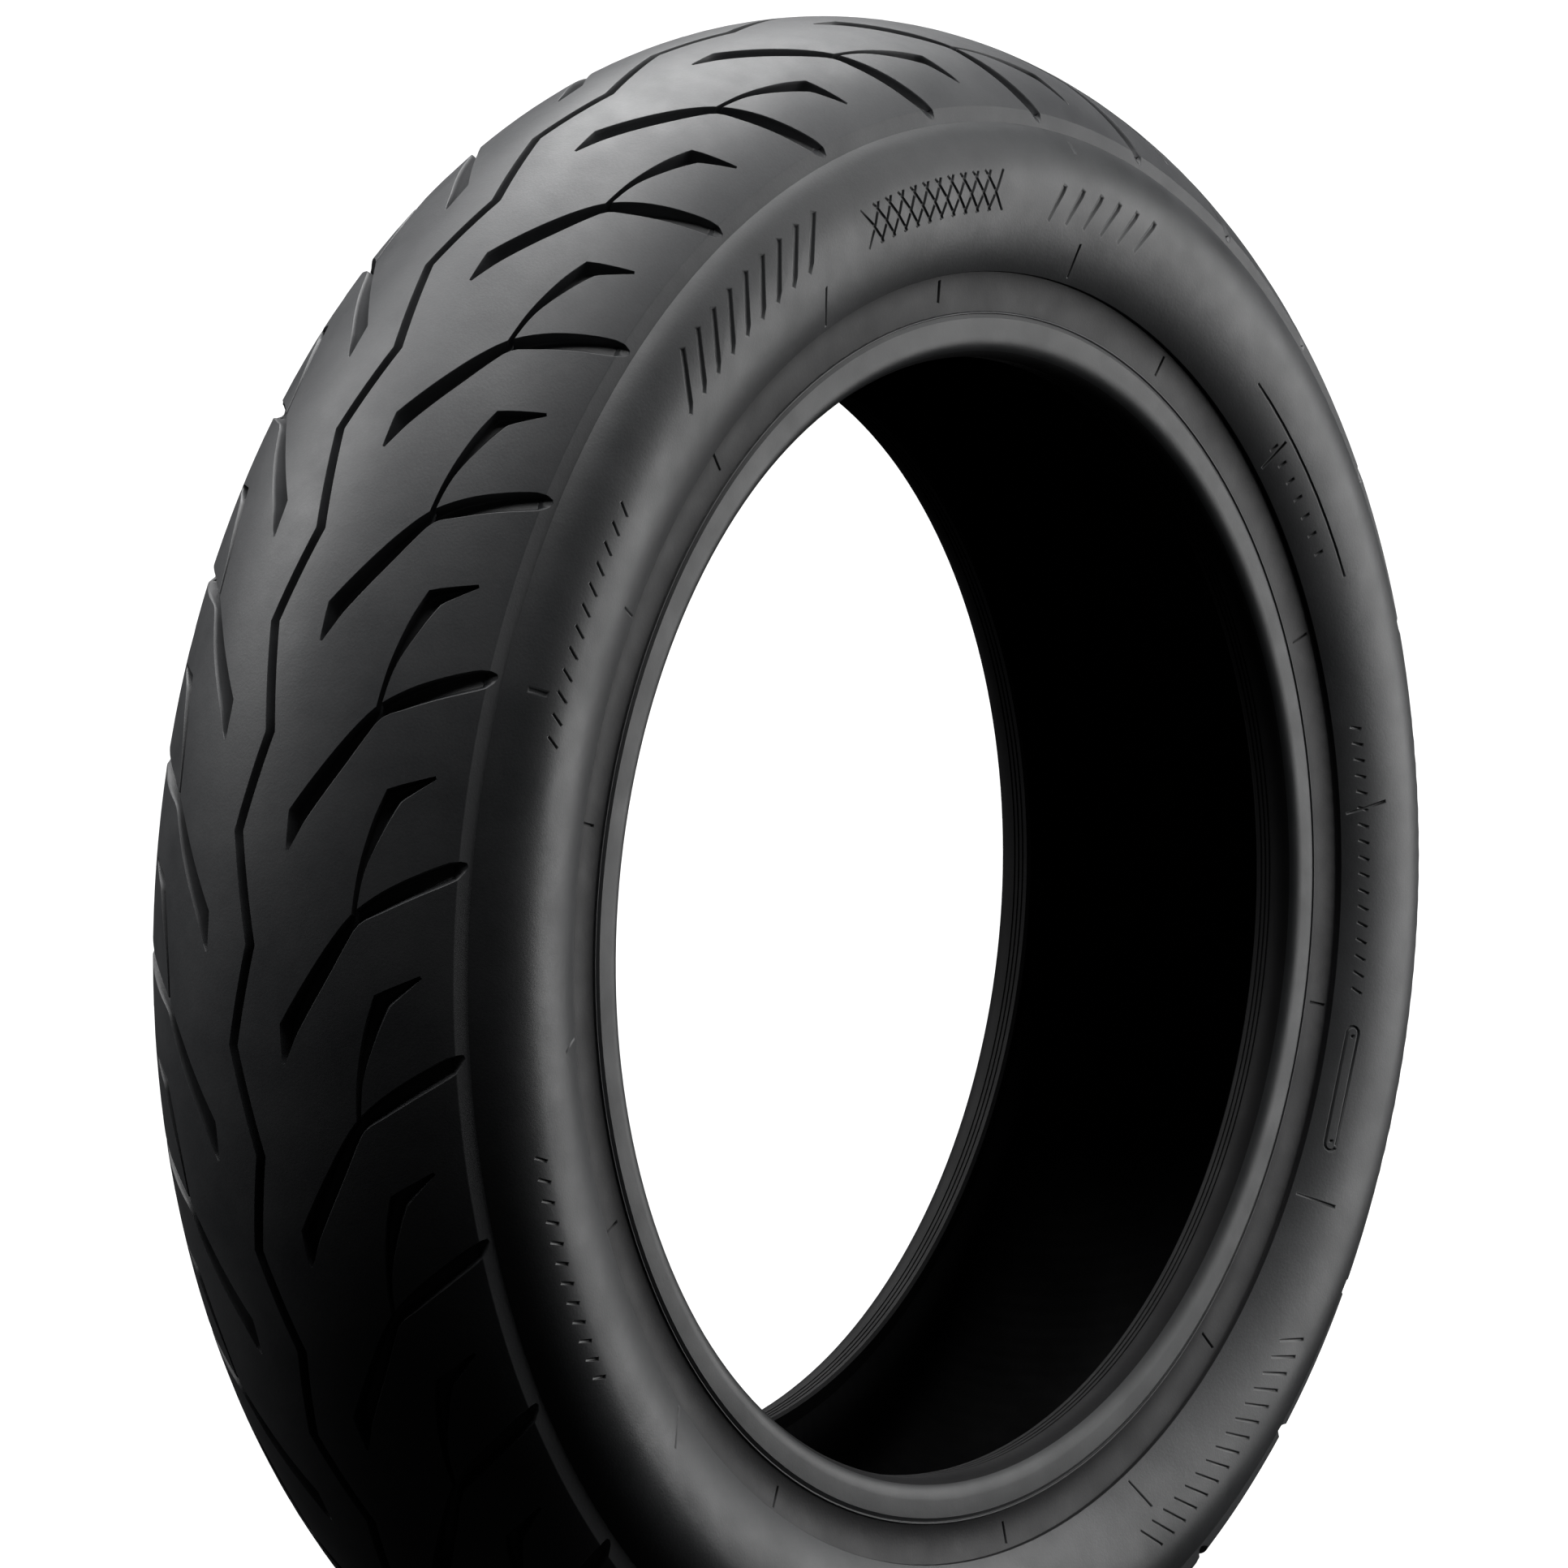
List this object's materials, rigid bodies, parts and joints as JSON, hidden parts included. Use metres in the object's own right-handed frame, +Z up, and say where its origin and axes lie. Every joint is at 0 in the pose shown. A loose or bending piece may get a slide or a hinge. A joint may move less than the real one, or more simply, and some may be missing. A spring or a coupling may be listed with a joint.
{
  "type": "scooter tyre",
  "caption": "Tubeless low-profile scooter tyre with directional curved grooves, a zigzag centre groove and two wire beads for a 12 inch rim.",
  "frame": {"origin": "centre of the tyre, on the axle line and midway between the beads", "axes": "+Y along the axle to the left, +Z up, +X forward, the way the tyre rolls"},
  "size_m": [0.487, 0.1216, 0.487],
  "materials": {
    "tread_rubber": "satin black tread rubber",
    "sidewall_rubber": "satin black moulded rubber",
    "bead_rubber": "smooth satin black rubber",
    "liner_rubber": "smooth dull black butyl",
    "base_rubber": "matt black rubber",
    "filler_rubber": "hard black rubber",
    "casing_cord": "rubber-coated nylon cord",
    "breaker_cord": "rubber-coated breaker cord",
    "chafer_fabric": "woven rubberised nylon",
    "bead_wire": "bronze-coated spring steel wire"
  },
  "bodies": {
    "root": {"tread_cap": "tread_rubber", "tread_base": "base_rubber", "breaker_ply_inner": "breaker_cord", "breaker_ply_outer": "breaker_cord", "carcass_ply_inner": "casing_cord", "carcass_ply_outer": "casing_cord", "inner_liner": "liner_rubber", "sidewall_left": "sidewall_rubber", "rim_strip_left": "bead_rubber", "chafer_left": "chafer_fabric", "bead_filler_left": "filler_rubber", "bead_wrap_left": "chafer_fabric", "bead_rubber_left": "filler_rubber", "bead_wires_left": "bead_wire", "sidewall_right": "sidewall_rubber", "rim_strip_right": "bead_rubber", "chafer_right": "chafer_fabric", "bead_filler_right": "filler_rubber", "bead_wrap_right": "chafer_fabric", "bead_rubber_right": "filler_rubber", "bead_wires_right": "bead_wire"}
  },
  "joints": []
}
